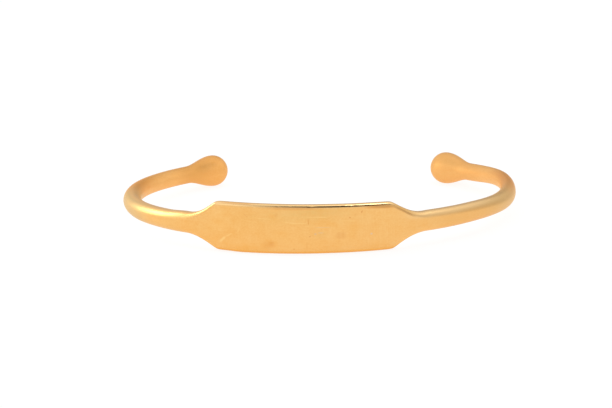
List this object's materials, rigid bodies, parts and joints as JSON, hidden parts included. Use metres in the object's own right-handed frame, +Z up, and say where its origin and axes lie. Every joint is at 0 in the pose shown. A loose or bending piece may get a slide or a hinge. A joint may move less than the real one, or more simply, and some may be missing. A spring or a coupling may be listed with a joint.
{
  "type": "baby bangle",
  "caption": "Open one-piece baby cuff bangle in yellow gold with a blank curved name plate, rounded tapering arms and a knob on each end.",
  "frame": {"origin": "on the surface that it lies on, under the middle of its box in plan", "axes": "+X along its width, +Y from the name plate to the opening between the knobs, +Z up from the surface it lies on"},
  "size_m": [0.0484, 0.0364, 0.0058],
  "materials": {
    "yellow_gold": "satin yellow gold, finely scratched lengthwise and a little brighter on its worn rims"
  },
  "bodies": {
    "root": {"bangle": "yellow_gold"}
  },
  "joints": []
}
